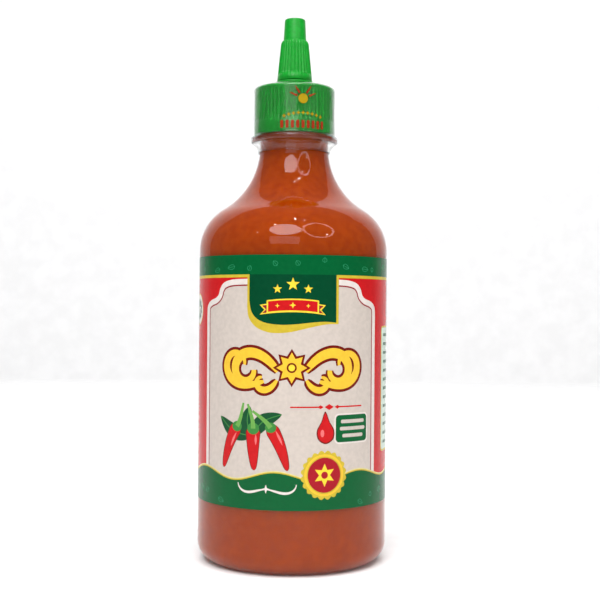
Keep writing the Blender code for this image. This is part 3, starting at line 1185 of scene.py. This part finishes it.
def thicken(piece, thickness, offset):
    """Gives a skin its thickness: offset -1 behind it, 0 on both sides."""
    bpy.ops.object.modifier_add(type="SOLIDIFY")
    piece.modifiers[0].thickness = thickness
    piece.modifiers[0].offset = offset
    bpy.ops.object.modifier_apply(modifier=piece.modifiers[0].name)


def wrapped(u, v, radius):
    """A point in millimetres on a flat strip, laid round the axis."""
    turn = u * MM / radius
    return radius * math.sin(turn), -radius * math.cos(turn), v * MM


sleeve_mesh = bpy.data.meshes.new("printed_sleeve")
bent = [wrapped(u, v, SLEEVE_RADIUS * MM) for u, v in flat_points]
sleeve_mesh.from_pydata(bent, [], [list(face) for face in flat_faces])
sleeve = bpy.data.objects.new("printed_sleeve", sleeve_mesh)
bpy.context.scene.collection.objects.link(sleeve)
for face, number in zip(sleeve_mesh.polygons, face_ink):
    face.material_index = int(number)
pick(sleeve)
bpy.ops.object.mode_set(mode="EDIT")
bpy.ops.mesh.select_all(action="SELECT")
bpy.ops.mesh.remove_doubles(threshold=0.001 * MM)
bpy.ops.mesh.normals_make_consistent(inside=False)
bpy.ops.object.mode_set(mode="OBJECT")
thicken(sleeve, SLEEVE_THICKNESS, -1)
bpy.ops.object.shade_smooth()

rim_or_radial = []
for face in sleeve_mesh.polygons:
    on_rim = abs(face.normal.z) > 0.7
    for corner in face.vertices:
        spot = sleeve_mesh.vertices[corner].co
        outwards = mathutils.Vector((spot.x, spot.y, 0)).normalized()
        facing = 1 if face.normal.dot(outwards) > 0 else -1
        rim_or_radial.append(face.normal.copy() if on_rim else outwards * facing)
sleeve_mesh.normals_split_custom_set(rim_or_radial)
stands_for(sleeve, "label", "label")
print("sleeve:", len(sleeve_mesh.polygons), "faces")

# %% [markdown]
# Each ink is a satin material. A faint mottle varies its colour and its polish.

# %% Inks
INK_COLOURS = {
    "red": (192, 24, 28), "white": (220, 211, 205), "dark_red": (140, 38, 48),
    "cream": (198, 187, 178), "pale_gold": (216, 206, 140), "gold": (196, 172, 52),
    "green": (0, 88, 44), "tab_green": (0, 66, 38), "gold_light": (240, 208, 60),
    "maroon": (108, 26, 20), "script_gold": (234, 188, 56), "pink": (226, 110, 110),
    "leaf_green": (60, 130, 60), "stem_green": (104, 160, 76), "leaf_dark": (22, 76, 44),
    "seal_red": (160, 20, 34), "faint_green": (40, 136, 92), "pale_green": (196, 214, 200),
    "film_red": (150, 44, 20), "film_gold": (168, 140, 20),
}
MOTTLE_DIM = 0.96


def printed_ink(name):
    """Satin ink on film, with a faint mottle."""
    material, shader = new_material(
        "ink_" + name, Roughness=0.25, IOR=1.4, Specular_IOR_Level=0.2
    )
    mottle = object_noise(material, 700, 3)
    colour = INK_COLOURS[name]
    dim = linear(*(value * MOTTLE_DIM for value in colour))
    vary_colour(material, shader, mottle, dim, linear(*colour))
    vary_roughness(material, shader, mottle, 0.16, 0.26)
    return material


wear(sleeve, *[printed_ink(name) for name in ink_names])
print("sleeve wears", len(sleeve_mesh.materials), "inks")

# %% [markdown]
# The seal is a clear film, shrunk by heat over the cap, the neck ring and the top of the
# neck. Its outline is a line a little outside theirs, spun like the rest.

# %% The seal film's outline
FILM = 0.07 * MM
FILM_CLEARANCE = 0.12 * MM
FILM_TOP_RADIUS = 8.2 * MM
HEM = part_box("seal_band")[0].z
HEM_GAP = 0.55 * MM
FOLD_HEIGHT = NECK_RING_BOTTOM + 0.4 * MM
SLOPE_ROWS = 12
SKIRT_ROWS = 34
FOLD_ROWS = 12
off_cap = FILM_CLEARANCE + FILM

film_outline = []
for i in range(SLOPE_ROWS + 1):
    across = CAP_RADIUS - CAP_EDGE_ROUNDING - FILM_TOP_RADIUS
    radius = FILM_TOP_RADIUS + across * i / SLOPE_ROWS
    film_outline.append((radius, slope_height(radius) + off_cap))
film_outline += cap_edge(off_cap)[1:]
film_outline += even_heights(CAP_RADIUS + off_cap, CAP_EDGE_Z - 0.5 * MM, CAP_BOTTOM, SKIRT_ROWS)
film_outline += [(NECK_RING_RADIUS + off_cap, z) for z in (NECK_RING_TOP, FOLD_HEIGHT)]
for i in range(1, FOLD_ROWS + 1):
    share = i / FOLD_ROWS
    spare = NECK_RING_RADIUS - NECK_RADIUS - 0.4 * MM
    radius = NECK_RADIUS + HEM_GAP + spare * (1 - share) ** 2.2
    film_outline.append((radius, FOLD_HEIGHT + (HEM + 0.5 * MM - NECK_RING_BOTTOM) * share))
film_piece = turned("seal_film", film_outline, 240, crease_deg=180)

# %% [markdown]
# Shrunk film is never smooth. Noise pushes its points in and out, most where nothing backs
# the film, and the hem goes up and down. Solidify then gives the film its thickness.

# %% Cockling the film
WRINKLES_ROUND = 9
FINE_WRINKLES_ROUND = 26
HEM_DEPTH = 2.5 * MM
for v in film_piece.data.vertices:
    radius = math.hypot(v.co.x, v.co.y)
    turn = math.atan2(v.co.y, v.co.x)
    free = max(0, min(1, (CAP_BOTTOM + 1 * MM - v.co.z) / (3 * MM)))
    wrinkle = noise.noise((
        math.cos(turn) * WRINKLES_ROUND, math.sin(turn) * WRINKLES_ROUND, v.co.z * 130
    ))
    fine = noise.noise((
        math.cos(turn) * FINE_WRINKLES_ROUND, math.sin(turn) * FINE_WRINKLES_ROUND, v.co.z * 300
    ))
    on_skirt = 0.09 * MM * max(0, wrinkle)
    push = on_skirt + free * (0.16 * MM * wrinkle + 0.12 * MM * fine)
    scale = (radius + push) / radius
    v.co.x *= scale
    v.co.y *= scale
    hem_share = max(0, (HEM + HEM_DEPTH - v.co.z) / HEM_DEPTH)
    v.co.z += hem_share * 0.3 * MM * math.sin(5 * turn + 1.3) * math.cos(2 * turn)
thicken(film_piece, FILM, -1)
bpy.ops.object.shade_smooth()
stands_for(film_piece, "seal_film", "seal_band")
print("film:", len(film_piece.data.polygons), "faces")

# %% [markdown]
# The film's material is like the bottle's, with a finer relief, because film creases.

# %% Clear shrink film
seal_clear, shader = new_material(
    "clear_shrink_film", Roughness=0.03, IOR=1.3, Transmission_Weight=1.0,
    Specular_IOR_Level=0.13,
)
shader.inputs["Base Color"].default_value = (0.99, 0.99, 0.99, 1)
cockle = object_noise(seal_clear, 260, 3, stretch=(1, 1, 0.5))
vary_roughness(seal_clear, shader, cockle, 0.01, 0.07)
bump(seal_clear, shader, cockle, 0.12 * MM, 0.4)
wear(film_piece, seal_clear)
print("film", round(FILM / MM, 2), "mm thick")

# %% [markdown]
# The film carries a small print of its own: a sun with rays, a row of diamonds and a row of
# bars. The same drawing tools make them. They are laid round the film, just outside it.

# %% Print on the seal film
PRINT_RADIUS = CAP_RADIUS + off_cap + 0.12 * MM
PRINT_THICKNESS = 0.04 * MM
PRINT_MIDDLE = 3.2
SUN = (PRINT_MIDDLE, 164.6)
RAY_FROM = 2.3
ACROSS = range(-4, 5)


def film_print(name, ink_name, outlines):
    """Flat shapes laid round the film, as one piece."""
    shapes = bmesh.new()
    for outline in outlines:
        shapes.faces.new([shapes.verts.new(wrapped(u, v, PRINT_RADIUS)) for u, v in outline])
    bmesh.ops.triangulate(shapes, faces=shapes.faces[:])
    mesh = bpy.data.meshes.new(name)
    shapes.to_mesh(mesh)
    shapes.free()
    printed = bpy.data.objects.new(name, mesh)
    bpy.context.scene.collection.objects.link(printed)
    pick(printed)
    thicken(printed, PRINT_THICKNESS, 0)
    wear(printed, printed_ink(ink_name))
    stands_for(printed, "seal_film")


bars, diamonds, rays = [], [], []
for step in ACROSS:
    bars.append(bar(PRINT_MIDDLE + step * 1.9, 155.6, 0.55, 1.4, 0.3, 2))
    diamonds.append(star((PRINT_MIDDLE + step * 1.7, 159.6 - 0.07 * step * step), 0.75, 4, 0.5))
for lean in (-66, -33, 33, 66):
    foot = swung(SUN, RAY_FROM, math.radians(90 + lean))
    rays.append(stroke(scroll(foot, 90 + lean, 3.0, 0, 0), lambda share: 0.75 - 0.5 * share))
film_print("film_bars", "film_red", bars)
film_print("film_diamonds", "film_gold", diamonds)
film_print("film_rays", "film_red", rays)
film_print("film_sun", "film_gold", [disc(SUN, 1.75, 1, 24)])
print("print on the film:", len(bars + diamonds + rays) + 1, "shapes")
